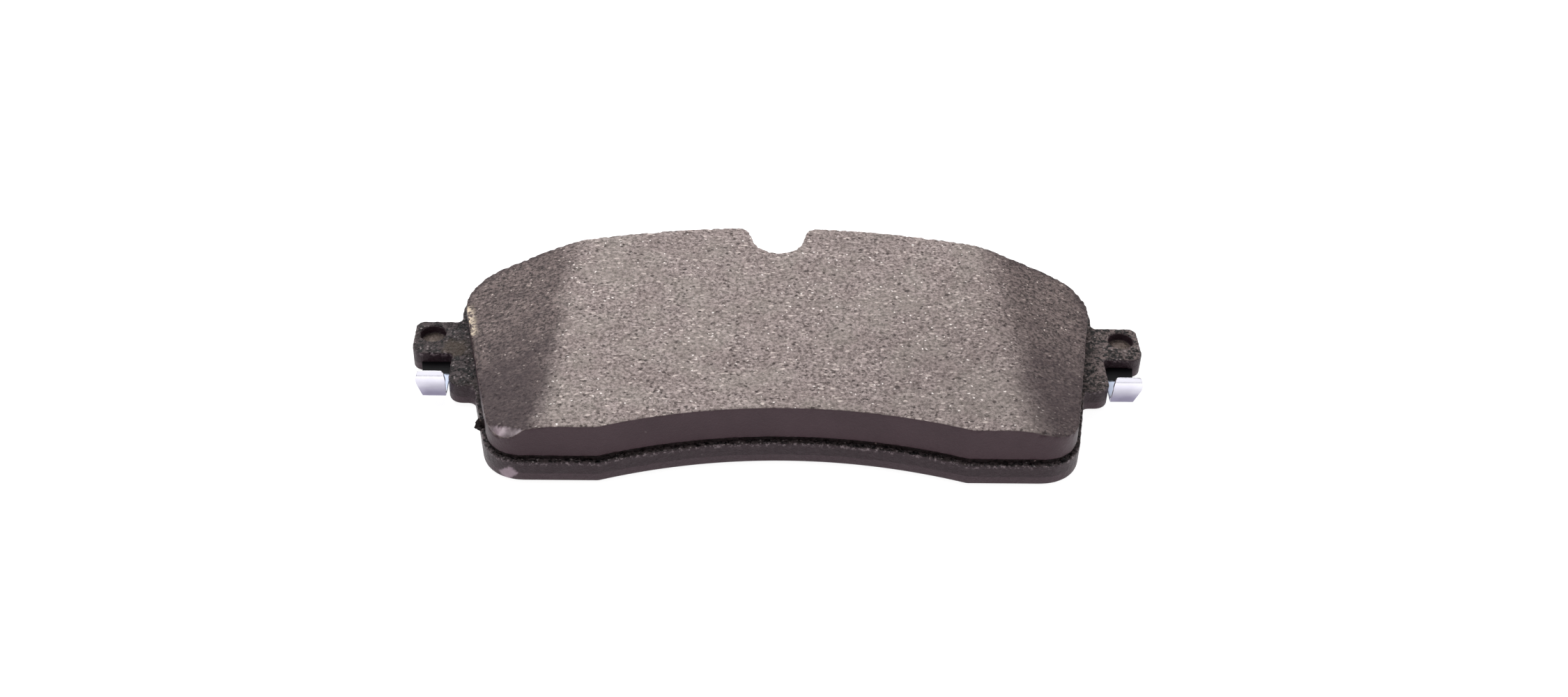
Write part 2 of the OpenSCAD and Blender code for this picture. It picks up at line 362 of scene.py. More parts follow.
def colour(red, green, blue):
    """An 8-bit display colour as linear RGBA."""
    linear = [
        c / 255 / 12.92 if c <= 10 else ((c / 255 + 0.055) / 1.055) ** 2.4
        for c in (red, green, blue)
    ]
    return (*linear, 1.0)


class Surface:
    """One procedural material, built with short calls. Its noise runs in millimetres."""

    def __init__(self, name):
        self.material = bpy.data.materials.new(name)
        self.material.use_nodes = True
        self.tree = self.material.node_tree
        self.shader = self.tree.nodes["Principled BSDF"]
        place = self.add("TexCoord").outputs["Object"]
        self.mm = self.add("VectorMath", {0: place, "Scale": 1 / MM}, operation="SCALE").outputs[0]
        self.height = self.add("SeparateXYZ", {0: self.mm}).outputs[2]

    def add(self, kind, inputs=None, **settings):
        node = self.tree.nodes.new("ShaderNode" + kind)
        for key, value in settings.items():
            setattr(node, key, value)
        for key, value in (inputs or {}).items():
            self.put(node.inputs[key], value)
        return node

    def put(self, socket, value):
        if isinstance(value, bpy.types.NodeSocket):
            self.tree.links.new(value, socket)
        else:
            socket.default_value = value

    def stretch(self, x, y, z, turn=0.0):
        """The mm coordinates turned about Z and stretched."""
        inputs = {"Vector": self.mm, "Rotation": (0, 0, turn), "Scale": (x, y, z)}
        return self.add("Mapping", inputs).outputs[0]

    def fray(self, size, reach):
        """Shifts all coordinates used from here on by noise, up to about reach mm."""
        shift = self.add("TexNoise", {"Vector": self.mm, "Scale": 1 / size}).outputs["Color"]
        shift = self.add("VectorMath", {0: shift, "Scale": 2 * reach}, operation="SCALE").outputs[0]
        self.mm = self.add("VectorMath", {0: self.mm, 1: shift}, operation="ADD").outputs[0]

    def noise(self, size, detail=3.0, rough=0.55, bend=0.0, place=None):
        inputs = {"Vector": place or self.mm, "Scale": 1 / size, "Detail": detail}
        inputs |= {"Roughness": rough, "Distortion": bend}
        return self.add("TexNoise", inputs).outputs["Fac"]

    def cells(self, size, place=None):
        """Distance to the nearest of random points about size mm apart, and its random value."""
        node = self.add("TexVoronoi", {"Vector": place or self.mm, "Scale": 1 / size})
        chance = self.add("SeparateColor", {0: node.outputs["Color"]}).outputs[0]
        return node.outputs["Distance"], chance

    def step(self, value, start, end, low=0.0, high=1.0):
        """low before start, high after end and a smooth step between them."""
        inputs = {"Value": value, "From Min": start, "From Max": end, "To Min": low, "To Max": high}
        return self.add("MapRange", inputs, interpolation_type="SMOOTHSTEP").outputs[0]

    def math(self, operation, a, b=0.0):
        return self.add("Math", {0: a, 1: b}, operation=operation).outputs[0]

    def times(self, *values):
        found = values[0]
        for value in values[1:]:
            found = self.math("MULTIPLY", found, value)
        return found

    def plus(self, *values):
        found = values[0]
        for value in values[1:]:
            found = self.math("ADD", found, value)
        return found

    def mix(self, share, a, b):
        node = self.add("Mix", data_type="RGBA")
        for i, value in ((0, share), (6, a), (7, b)):
            self.put(node.inputs[i], value)
        return node.outputs[2]

    def specks(self, size, chance, radius, place=None):
        """Soft-edged spots: one in the given share of cells, of that radius in cell sizes."""
        distance, luck = self.cells(size, place)
        spot = self.step(distance, radius, radius * 0.55)
        return self.times(spot, self.step(luck, 1 - chance, 1 - chance + 0.02))

    def marked(self, name):
        return self.add("Attribute", attribute_name=name).outputs["Fac"]

    def bump(self, *layers):
        """Stacks (height, depth in mm) layers into one normal."""
        normal = None
        for height, depth in layers:
            inputs = {"Height": height, "Distance": depth * MM, "Strength": 1.0}
            if normal:
                inputs["Normal"] = normal
            normal = self.add("Bump", inputs).outputs[0]
        self.put(self.shader.inputs["Normal"], normal)

    def finish(self, **inputs):
        for key, value in inputs.items():
            self.put(self.shader.inputs[key.replace("_", " ")], value)
        return self.material


def friction_material():
    """Ground moulded mix: light fibres and chips in a grey-brown matrix, with a smooth moulded
    skin on its walls. The ground face gets a copy with painted sheen, the end chamfers a darker
    copy with painted shade."""
    s = Surface("friction_mix")
    s.fray(0.8, 0.5)
    ground, skin = s.marked("ground"), s.marked("skin")
    broken, cream, worn = s.marked("broken"), s.marked("cream"), s.marked("worn")
    grain = s.noise(0.85, 4, 0.75)
    cloud = s.noise(7, 4, 0.6)
    tint = s.noise(11, 3, 0.5, place=s.stretch(1, 1, 1, 1.3))
    along = s.stretch(0.6, 1.3, 1, 0.5)
    across = s.stretch(0.65, 1.35, 1, -0.75)
    flecks = s.plus(s.specks(1.35, 0.22, 0.36, along), s.specks(1.15, 0.2, 0.34, across))
    glints = s.specks(1.0, 0.1, 0.3)
    pits = s.plus(s.specks(1.2, 0.22, 0.36, s.stretch(0.8, 1.1, 1, 0.2)), s.specks(2.6, 0.05, 0.3))

    # light is the ground face's copy of the mix with painted sheen; dull below is the end chamfers' copy
    # with painted shade
    light = s.mix(s.step(grain, 0.32, 0.68), colour(62, 50, 48), colour(184, 169, 166))
    light = s.mix(s.step(cloud, 0.35, 0.7, 0.3, 0), light, colour(112, 98, 94))
    light = s.mix(s.step(tint, 0.4, 0.65, 0, 0.22), light, colour(150, 146, 136))
    light = s.mix(s.times(flecks, 0.72), light, colour(218, 203, 197))
    light = s.mix(s.times(glints, 0.95), light, colour(255, 246, 242))
    light = s.mix(s.times(pits, 0.8), light, colour(46, 35, 34))
    dull = s.mix(s.step(grain, 0.34, 0.66), colour(24, 16, 17), colour(136, 120, 117))
    dull = s.mix(s.step(cloud, 0.35, 0.7, 0.3, 0), dull, colour(66, 55, 55))
    dull = s.mix(s.times(flecks, 0.5), dull, colour(174, 158, 152))
    dull = s.mix(s.times(glints, 0.75), dull, colour(232, 216, 208))
    dull = s.mix(s.times(pits, 0.75), dull, colour(28, 21, 22))
    # the worn mark only darkens the chamfers, towards the front and near the back rim; no wear is modelled
    dull = s.mix(s.times(worn, 0.72), dull, colour(52, 39, 43))
    face = s.mix(ground, dull, light)

    wall = s.mix(s.noise(14, 4, 0.6), colour(47, 29, 36), colour(69, 50, 57))
    wall = s.mix(s.times(s.specks(2.2, 0.05, 0.16), 0.4), wall, colour(110, 98, 98))
    tone = s.mix(skin, face, wall)
    fresh = s.mix(s.step(cloud, 0.35, 0.6), colour(150, 132, 140), colour(214, 200, 206))
    tone = s.mix(broken, tone, fresh)
    crumbs = s.step(s.noise(1.1, 4, 0.7), 0.45, 0.55)
    tone = s.mix(s.times(cream, crumbs), tone, colour(232, 214, 190))
    bare = s.math("SUBTRACT", 1.0, skin)
    grain = s.times(grain, s.step(skin, 0, 1, 1, 0.75))
    s.bump((grain, 0.28), (s.times(flecks, bare), 0.06), (s.times(pits, bare), -0.2))
    rough = s.mix(skin, (0.6, 0.6, 0.6, 1), (0.42, 0.42, 0.42, 1))
    return s.finish(Base_Color=tone, Roughness=rough, Specular_IOR_Level=0.26)


def plate_material():
    """Granular black powder coat over stamped steel. Its sheared edges are smoother, a little
    lighter below the break line, and the bottoms of the recesses are brown."""
    s = Surface("plate_coat")
    flat, worn = s.marked("flat"), s.marked("worn")
    pressed, stain = s.marked("pressed"), s.marked("stain")
    lumps = s.noise(1.05, 5, 0.7, 0.8)
    distance, _ = s.cells(1.2)
    grit = s.times(s.step(distance, 0.5, 0.0), flat)
    streaks = s.noise(2.4, 3, 0.6, place=s.stretch(1, 1, 0.1))
    cloud = s.noise(9, 3)
    raised = s.mix(s.marked("dusty"), colour(74, 64, 65), colour(114, 100, 98))
    face = s.mix(s.step(lumps, 0.45, 0.55), colour(2, 1, 2), raised)
    # painted glints: light specks in the coat's face
    face = s.mix(s.times(s.specks(0.9, 0.28, 0.36), 0.72), face, colour(160, 149, 149))
    face = s.mix(s.step(cloud, 0.45, 0.8, 0, 0.5), face, colour(58, 49, 46))
    face = s.mix(s.times(stain, 0.7), face, colour(74, 62, 52))
    brown = s.mix(lumps, colour(74, 62, 56), colour(150, 134, 124))
    face = s.mix(s.times(pressed, 0.75), face, brown)
    height = s.plus(s.height, s.times(s.noise(5, 3), 0.8))
    edge = s.mix(s.step(height, 3.55, 3.85), colour(65, 48, 55), colour(45, 29, 36))
    edge = s.mix(s.step(streaks, 0.3, 0.75, 0, 0.35), edge, colour(62, 47, 53))
    edge = s.mix(s.times(s.specks(1.8, 0.05, 0.2), 0.5), edge, colour(110, 98, 100))
    tone = s.mix(flat, edge, face)
    # painted highlight: light flecks along the plate's top lip, where its edge catches the light
    lip = s.times(s.marked("lip"), s.step(s.noise(1.1, 4, 0.75), 0.52, 0.6))
    tone = s.mix(s.times(lip, 0.75), tone, colour(142, 128, 132))
    # the worn mark paints a lighter patch on the front-left sheared edge; no wear is modelled
    tone = s.mix(worn, tone, colour(150, 132, 142))
    s.bump((lumps, 0.55), (grit, 0.35), (streaks, 0.03))
    rough = s.step(lumps, 0.3, 0.7, 0.3, 0.5)
    return s.finish(Base_Color=tone, Roughness=rough, Specular_IOR_Level=0.28)


def underlayer_material():
    """Dark, porous bonding mix with a few light crumbs."""
    s = Surface("underlayer_mix")
    grain = s.noise(0.8, 6, 0.7)
    tone = s.mix(s.step(grain, 0.35, 0.7), colour(12, 5, 6), colour(34, 20, 22))
    tone = s.mix(s.times(s.specks(1.2, 0.1, 0.3), 0.7), tone, colour(120, 102, 98))
    s.bump((grain, 0.4), (s.specks(0.9, 0.3, 0.36), 0.15))
    return s.finish(Base_Color=tone, Roughness=0.7, Specular_IOR_Level=0.2)


def clip_material():
    """Bright zinc-plated spring steel. The leaf carries a painted reflection, bluer and darker
    towards the lower bend; the slope behind it a pale, dull painted reflection; and the base
    near the tab is near-black painted shade."""
    s = Surface("clip_steel")
    grain = s.noise(0.5, 4, 0.6, place=s.stretch(1, 0.06, 0.06))
    smudge = s.noise(3.5, 3, 0.5)
    # painted reflection: the leaf runs from the light high copy at its top to the darker, bluer low copy at
    # the lower bend, where it mirrors shaded floor
    high = s.mix(s.step(smudge, 0.3, 0.75), colour(236, 234, 246), colour(244, 243, 250))
    low = s.mix(s.step(smudge, 0.3, 0.75), colour(118, 111, 138), colour(134, 128, 155))
    tone = s.mix(s.marked("bright"), low, high)
    # painted shade: the base under the tab is coloured near-black and made dull, standing for the pocket's
    # shade
    base_shade = s.marked("painted")
    flat = s.marked("flat")
    # painted reflection: the slope behind the leaf is coloured pale blue and made dull
    tone = s.mix(s.times(flat, 0.8), tone, colour(222, 234, 255))
    tone = s.mix(base_shade, tone, colour(8, 7, 10))
    s.bump((grain, 0.004), (smudge, 0.008))
    rough = s.step(smudge, 0.3, 0.8, 0.16, 0.24)
    rough = s.mix(s.math("MAXIMUM", base_shade, flat), rough, (0.6, 0.6, 0.6, 1))
    metal = s.math("SUBTRACT", 1.0, s.math("MAXIMUM", base_shade, s.times(flat, 0.7)))
    return s.finish(Base_Color=tone, Roughness=rough, Metallic=metal, Specular_IOR_Level=0.12)


def shim_steel_material():
    s = Surface("shim_steel")
    rolled = s.noise(0.9, 4, 0.6, place=s.stretch(0.05, 1, 1))
    tone = s.mix(s.step(rolled, 0.3, 0.7), colour(150, 152, 156), colour(186, 188, 192))
    s.bump((rolled, 0.01))
    return s.finish(Base_Color=tone, Roughness=s.step(rolled, 0.3, 0.7, 0.3, 0.45), Metallic=1.0)


def shim_rubber_material():
    s = Surface("shim_rubber")
    grain = s.noise(0.35, 4, 0.6)
    cloud = s.noise(18, 4, 0.6)
    tone = s.mix(s.step(cloud, 0.3, 0.75), colour(48, 49, 52), colour(62, 63, 66))
    tone = s.mix(s.times(s.specks(2.4, 0.08, 0.18), 0.35), tone, colour(96, 96, 98))
    s.bump((grain, 0.03), (cloud, 0.05))
    return s.finish(Base_Color=tone, Roughness=s.step(grain, 0.3, 0.7, 0.6, 0.75))


def shim_glue_material():
    s = Surface("shim_glue")
    cloud = s.noise(2.5, 4, 0.6)
    tone = s.mix(s.step(cloud, 0.3, 0.75), colour(140, 136, 126), colour(168, 164, 152))
    s.bump((cloud, 0.04))
    return s.finish(Base_Color=tone, Roughness=0.55)


def floor_material():
    """White table top, lit from within like a light table so that shadows stay faint."""
    s = Surface("table")
    haze = s.noise(60, 3)
    tone = s.mix(s.step(haze, 0.3, 0.7), colour(146, 146, 146), colour(149, 149, 149))
    return s.finish(
        Base_Color=tone,
        Roughness=0.6,
        Emission_Color=(1.0, 1.0, 1.0, 1.0),
        Emission_Strength=0.9,
    )


# ---------------------------------------------------------------- friction block


RIDGE_R = 0.9  # height range over which the ridge between face and chamfer is worn round
CHIP_FACING = (-0.50, -0.64, 0.58)  # direction of the broken facet on the front left corner
CHIP_W = 1.5  # how far the facet reaches in from the corner
CHIP_HIGHLIGHT = (0.4, -0.2)  # where the painted highlight on the facet is lightest, from its middle
# Broken spots on the friction block's edges: place, radius and depth of the break
PITS = [((62.2, -41.3), 1.5, 0.8), ((-60.9, -41.0), 1.3, 0.5), ((20.5, -34.6), 0.9, 0.3)]
CREAM_Y = (7.5, 8.0)  # middle and half length of the cream patch on the left edge


def build_friction_block(material):
    """The block, ground flat, with an angled chamfer at each end and a crumbled face edge."""
    low, high = box("friction_block")
    outline = resample(flat_loops("friction_block", low[2])[0], 0.4)
    planes = chamfer_planes()
    facing = np.array(CHIP_FACING)
    across = facing[:2] / np.linalg.norm(facing[:2])
    chip = outline[np.argmax(outline @ across)] - across * CHIP_W

    def slopes(points):
        """Height of the lower chamfer plane over each point, from the ground face."""
        heights = [
            spot[2] - (points - spot[:2]) @ normal[:2] / normal[2] for spot, normal in planes
        ]
        return np.min(heights, 0) - high[2]

    def ground_face(points):
        room = slopes(points)
        worn = np.maximum(RIDGE_R - np.abs(room), 0) ** 2 / (4 * RIDGE_R)
        return high[2] + np.minimum(room, 0) - worn

    def facet(points):
        return height_at(chip) - (points - chip) @ facing[:2] / facing[2]

    def top(points):
        return np.minimum(ground_face(points), facet(points))

    def height_at(spot):
        return high[2] + min(0.0, float(slopes(np.array([spot]))[0]))

    profile = wall_profile(0.15, 0.22, 13)
    over = scatter([outline], 0.56, seed=3)
    under = scatter([outline], 3.5, seed=4)
    shell = solid([outline], profile, level(low[2]), top, over, under)
    piece = make("friction_block_piece", *shell, material)
    points, normals = vertices(piece)
    ceiling = top(points[:, :2])
    below = ceiling - points[:, 2]
    room = slopes(points[:, :2])
    upward = normals[:, 2] > 0.45
    floor = points[:, 2] < low[2] + 0.05
    away = outward(points, outline)

    # relief of the ground face, a crumbled rim and slightly wavy walls
    relief = 0.06 * fractal(points, 1.5, 4, 1) - 0.16 * ease(fractal(points, 2.3, 2, 2), 0.4, 0.8)
    points[:, 2] += np.where(upward, relief, 0)
    rim = ease(below, 1.3, 0.0) * ~upward + near_rim(points, outline, 0.8) * upward
    crumble = np.clip(fractal(points, 1.4, 4, 5) + 0.25, 0, 1)
    points[:, :2] -= away * (0.22 * rim * crumble)[:, None]
    points[:, 2] -= 0.28 * rim * crumble
    foot = ease(points[:, 2], low[2] + 0.7, low[2]) * ~floor
    wave = 0.05 * fractal(points, 3.5, 3, 7) + 0.12 * foot * fractal(points, 1.2, 3, 8)
    points[:, :2] += away * (wave * ~upward)[:, None]
    for spot, radius, depth in PITS:
        centre = (*spot, high[2] + min(0.0, float(slopes(np.array([spot]))[0])))
        amount = near(points, centre, radius) * (1 + 0.6 * fractal(points, 0.9, 3, 9))
        points[:, 2] -= amount * depth
        points[:, :2] -= away * (amount * depth * 0.8 * near_rim(points, outline, 1.5))[:, None]
    reshape(piece, points)

    # the ground mark picks the painted-sheen copy for the ground face and the painted-shade copy for the
    # chamfers
    patchy = 0.5 * fractal(points, 7, 5, 11)
    blurred = np.where(points[:, 0] > 0, -2.4, -1.05)
    # painted shade: the ground face's painted sheen fades towards its right front
    painted_sheen_falloff = 0.18 * ease(points[:, 0], -5, 50) * ease(points[:, 1], 35, -15)
    mark(piece, "ground", ease(room + patchy, blurred, 0.85) * (1 - painted_sheen_falloff) * (normals[:, 2] > 0))
    mark(piece, "skin", np.where(upward | (below < 0.2), 0, 1))
    open_break = ease(ground_face(points[:, :2]) - facet(points[:, :2]), 0.05, 0.25) * upward
    # the broken facet is a lighter fresh break, and its lightest spot is a painted highlight
    facet_highlight = near(points[:, :2], chip + across * 0.6 + CHIP_HIGHLIGHT, 2.6)
    pale = np.clip(0.42 + 0.6 * facet_highlight + 0.5 * fractal(points, 3, 3, 13), 0, 1)
    mark(piece, "broken", open_break * pale)
    cream = ease(np.abs(points[:, 1] - CREAM_Y[0]), CREAM_Y[1], CREAM_Y[1] - 3)
    cream = cream * near_rim(points, outline, 2.6) * (points[:, 0] < 0) * upward
    mark(piece, "cream", cream)
    # the worn mark: chamfers darker towards the front and near the back rim; no wear is modelled
    forward = 1.1 * ease(points[:, 1], 10, -30)
    edge = 0.8 * near_rim(points, outline, 3.0) * ease(points[:, 1], -5, 15)
    mark(piece, "worn", np.clip(forward + edge + 0.4 * fractal(points, 5, 4, 15), 0, 1) * upward)
    return piece


def chamfer_planes():
    """A point and the normal of each end chamfer, from the CAD block's tilted faces."""
    mesh = frame["nodes"]["friction_block"].data
    tilted = [f for f in mesh.polygons if 0.9 < f.normal.z < 0.99]
    planes = []
    for side in (-1, 1):
        largest = max((f for f in tilted if f.normal.x * side > 0), key=lambda f: f.area)
        planes.append((np.array(largest.center) / MM, np.array(largest.normal)))
    return planes


def near_rim(points, outline, width):
    """1 on the outline, falling to 0 at width inside it."""
    return ease(nearest(points, outline)[1], width, 0)


def outward(points, outline):
    """The outline's outward direction beside each point."""
    return -into_material(outline)[nearest(points, outline)[0]]


# ---------------------------------------------------------------- the other pad pieces


OVERSPILL = ((-74.5, -29.2, 6.9), 1.35)  # place and radius of a lump on the left side
RECESS_REACH = 4.0  # radius of a circle that holds a recess
PALE_PATCH = ((-66.8, -42.4, 3.0), 4.2)  # place and reach of the lighter patch on the sheared edge
STAIN = ((-84.4, 1.0, 0), 6.5)  # place and reach of the brown stain on the left tab


def build_underlayer(material):
    """The rough dark layer under the block, with the plugs that fill the plate's holes."""
    low, high = box("underlayer")
    plate_top = box("backing_plate")[1][2]
    outline = resample(flat_loops("underlayer", high[2])[0], 0.32)
    profile = wall_profile(0.1, 0.1, 5, 2)
    inner = scatter([outline], 4.0, seed=5)
    slab = solid([outline], profile, level(plate_top), level(high[2]), inner, inner)
    plugs = []
    for hole in flat_loops("underlayer", plate_top)[1:]:
        middle = (hole.max(0) + hole.min(0)) / 2
        radius = (hole.max(0) - hole.min(0))[0] / 2
        rows = [(0, low[2]), (radius - 0.2, low[2]), (radius, low[2] + 0.2)]
        rows += [(radius, plate_top + 0.3), (0, plate_top + 0.3)]
        plugs.append(turned(rows, middle))
    spot, reach = np.array(OVERSPILL[0]), OVERSPILL[1]
    arc = [(reach * math.cos(a), spot[2] + reach * math.sin(a)) for a in np.linspace(-1.4, 1.4, 9)]
    blob, blob_faces = turned([(0, arc[0][1]), *arc, (0, arc[-1][1])], spot, 20)
    blob += (blob - spot) * (0.65 * fractal(blob, 1.2, 3, 14))[:, None]
    piece = make("underlayer_piece", *joined(slab, *plugs, (blob, blob_faces)), material)
    points, _ = vertices(piece)
    wall = near_rim(points, outline, 0.5) * (points[:, 2] > plate_top - 0.01)
    wall *= np.arange(len(points)) < len(slab[0])
    push = 0.65 * fractal(points, 1.0, 4, 12) + 0.05
    points[:, :2] += outward(points, outline) * (wall * push)[:, None]
    reshape(piece, points)
    return piece


def build_plate(material):
    """The stamped plate: softened edges, a pressed recess and a clip pocket in each tab."""
    low, high = box("backing_plate")
    top_loops = flat_loops("backing_plate", high[2])
    outline = resample(top_loops[0], 0.4, 2)
    ear_start = box("friction_block")[1][0] - 1
    on_ear = lambda p: np.abs(p[:, 0]) > ear_start
    over = scatter([outline], 0.5, 5.0, 2.5, on_ear, seed=6)
    under = scatter([outline], 0.9, 6.0, 2.0, on_ear, seed=7)
    profile = wall_profile(0.55, 0.3, 10)
    shell = solid([outline], profile, level(low[2]), level(high[2]), over, under)
    piece = make("backing_plate_piece", *shell, material)
    cut(piece, joined(*plate_cutters(low, high, top_loops)))
    points, normals = vertices(piece)
    walls = np.abs(normals[:, 2]) < 0.6
    upward = normals[:, 2] > 0.6
    visible = on_ear(points) | (near_rim(points, outline, 3) > 0)
    lumps = fractal(points, 1.1, 4, 20)
    away = normals * (0.06 * lumps * upward * visible)[:, None]
    lip = ease(high[2] - points[:, 2], 1.5, 0) * near_rim(points, outline, 0.8)
    away += normals * (0.12 * np.clip(lumps, -0.4, 1) * lip)[:, None]
    streaks = 0.03 * fractal(points * [1, 1, 0.15], 1.8, 3, 21) * walls
    away[:, :2] += normals[:, :2] * streaks[:, None]
    reshape(piece, points + away)
    mark(piece, "flat", ease(normals[:, 2], 0.35, 0.8))
    # the lip mark also places the painted highlight along the top lip
    mark(piece, "lip", lip)
    # a lighter patch on the front-left sheared edge, kept under the name worn
    pale_patch = near(points, *PALE_PATCH)
    mark(piece, "worn", ease(pale_patch + 0.45 * fractal(points, 1.8, 3, 23), 0.45, 0.65) * walls)
    ring = [near(points * [1, 1, 0], (*spot, 0), RECESS_REACH) for spot in recess_spots()]
    mark(piece, "pressed", np.max(ring, 0) ** 0.2 * (points[:, 2] < high[2] - 0.9) * upward)
    stain = near(points * [1, 1, 0], *STAIN) + 0.3 * fractal(points, 2.5, 3, 25)
    mark(piece, "stain", ease(stain, 0.3, 0.7))
    mark(piece, "dusty", ease(points[:, 0], ear_start - 12, ear_start))
    return join(piece, make("bosses", *joined(*bosses()), material))


def recess_spots():
    """The middles of the two pressed recesses."""
    high = box("backing_plate")[1]
    holes = flat_loops("backing_plate", high[2])[1:]
    middles = [(hole.max(0) + hole.min(0)) / 2 for hole in holes]
    return [middle for middle in middles if abs(middle[0]) > high[0] / 2]


def pocket_level():
    """Height of the pocket's ceiling, which the clip's base lies against."""
    return box("left_clip_base")[1][2]


def plate_cutters(low, high, top_loops):
    """What is cut from the plate: two round recesses, two open pockets and the plug holes."""
    cutters = []
    lip, reach = 0.28, 0.6
    for hole in top_loops[1:]:
        middle = (hole.max(0) + hole.min(0)) / 2
        radius = (hole.max(0) - hole.min(0))[0] / 2
        through = abs(middle[0]) < high[0] / 2
        floor = low[2] - reach if through else recess_floor()
        rows = [(0, floor), (radius, floor)]
        if not through:
            rows = [(0, floor), (radius - lip, floor), (radius, floor + lip)]
        rows += [(radius, high[2] - lip), (radius + lip, high[2])]
        rows += [(radius + lip, high[2] + reach), (0, high[2] + reach)]
        cutters.append(turned(rows, middle, 64))
    for loop in flat_loops("backing_plate", pocket_level()):
        if len(loop) < 4 or area(loop) < 0:
            continue
        plan = loop.copy()
        plan[plan[:, 1] < plan[:, 1].min() + 0.01, 1] -= 1.0
        plan = resample(plan, 0.5, 0)
        inner = scatter([plan], 2.0, seed=8)
        flat = [(0, 0, 0), (0, 1, 0)]
        under, ceiling = level(low[2] - reach), level(pocket_level())
        cutters.append(solid([plan], flat, under, ceiling, inner, inner))
    return cutters


def recess_floor():
    """Height of the floor of the pressed recesses: the lowest upward face above the pocket."""
    mesh = frame["nodes"]["backing_plate"].data
    top = box("backing_plate")[1][2]
    heights = [f.center.z / MM for f in mesh.polygons if f.normal.z > 0.99]
    return min(h for h in heights if pocket_level() < h < top - 0.1)


def area(loop):
    after = np.roll(loop, -1, 0)
    return float(np.sum(loop[:, 0] * after[:, 1] - after[:, 0] * loop[:, 1]) / 2)


def bosses():
    """The pressed bosses: a stem through each clip's eye and a staked head under it."""
    shapes = []
    ceiling = pocket_level()
    for loop in flat_loops("backing_plate", ceiling):
        if area(loop) > 0:
            continue
        middle = (loop.max(0) + loop.min(0)) / 2
        radius = (loop.max(0) - loop.min(0))[0] / 2
        head, under = radius * 4 / 3, ceiling - STRIP_T
        rows = [(0, under - 0.72), (head * 0.45, under - 0.78), (head * 0.8, under - 0.88)]
        rows += [(head * 0.95, under - 0.75), (head, under - 0.45), (head * 0.95, under - 0.12)]
        rows += [(radius + 0.1, under), (radius, under + 0.1)]
        rows += [(radius, ceiling + 0.3), (0, ceiling + 0.3)]
        shapes.append(turned(rows, middle))
    return shapes


def join(piece, other):
    """Adds other's mesh to piece's."""
    points, faces = [], []
    for o in (piece, other):
        mesh = o.data
        first = sum(len(p) for p in points)
        points.append(vertices(o)[0])
        faces += [[first + i for i in f.vertices] for f in mesh.polygons]
    marks = {}
    for layer in piece.data.attributes:
        if layer.domain == "POINT" and layer.data_type == "FLOAT":
            values = np.zeros(len(piece.data.vertices), np.float32)
            layer.data.foreach_get("value", values)
            marks[layer.name] = np.r_[values, np.zeros(len(other.data.vertices), np.float32)]
    name, material = piece.name, piece.data.materials[0]
    for o in (piece, other):
        bpy.data.objects.remove(o)
    both = make(name, np.vstack(points), faces, material)
    for key, values in marks.items():
        mark(both, key, values)
    return both


def build_shim_layer(node, material, rounding, rough, step=0.6):
    """One layer of the shim: a thin sheet with eased edges, its edge wavy by rough mm."""
    low, high = box(node)
    outline = resample(flat_loops(node, high[2])[0], step)
    inner = scatter([outline], 1.6, 5.0, 3.0, seed=9)
    profile = wall_profile(rounding, rounding, 2, 2)
    shell = solid([outline], profile, level(low[2]), level(high[2]), inner, inner)
    piece = make(node + "_piece", *shell, material)
    if rough:
        points, _ = vertices(piece)
        wave = near_rim(points, outline, 0.8) * rough * fractal(points * [1, 1, 0], 2.5, 3, 31)
        points[:, :2] += outward(points, outline) * wave[:, None]
        reshape(piece, points)
    return piece


# ---------------------------------------------------------------- spring clips


STRIP_T = 0.7  # thickness of the clip strip
LEAF_LOW_W = 5.9  # width at the lower bend
LEAF_FOLD_W = 7.6  # width at the contact fold
LEAF_TIP_W = 6.4  # width at the tip
SLOPE_BEND = 2.2  # centre-line radius where the strip starts down
LOW_BEND = 1.0  # centre-line radius of the lower bend
FOLD_BEND = 3.6  # centre-line radius of the contact fold
FOLD_RISE = 8.55  # rise of the contact fold above the lower bend
TIP_BACK = 1.42  # how far the tip folds back
POCKET_SHADE_END = 5.2  # where the painted shade on the base ends, from the lower bend


def side_path(corners, radii, step=0.2):
    """A centre line in (y, z) through corners, rounded by the radii at its inner ones."""
    path = [np.array(corners[0], float)]
    for before, corner, after, radius in zip(corners, corners[1:], corners[2:], radii):
        before, corner, after = (np.array(p, float) for p in (before, corner, after))
        u = (before - corner) / np.linalg.norm(before - corner)
        v = (after - corner) / np.linalg.norm(after - corner)
        half = math.acos(float(u @ v)) / 2
        centre = corner + (u + v) / np.linalg.norm(u + v) * radius / math.sin(half)
        start = corner + u * radius / math.tan(half) - centre
        turn = (math.pi - 2 * half) * np.sign(u[0] * v[1] - u[1] * v[0])
        for i in range(13):
            a = -turn * i / 12
            c, s = math.cos(a), math.sin(a)
            path.append(centre + [start[0] * c - start[1] * s, start[0] * s + start[1] * c])
    path.append(np.array(corners[-1], float))
    return np.array(path)


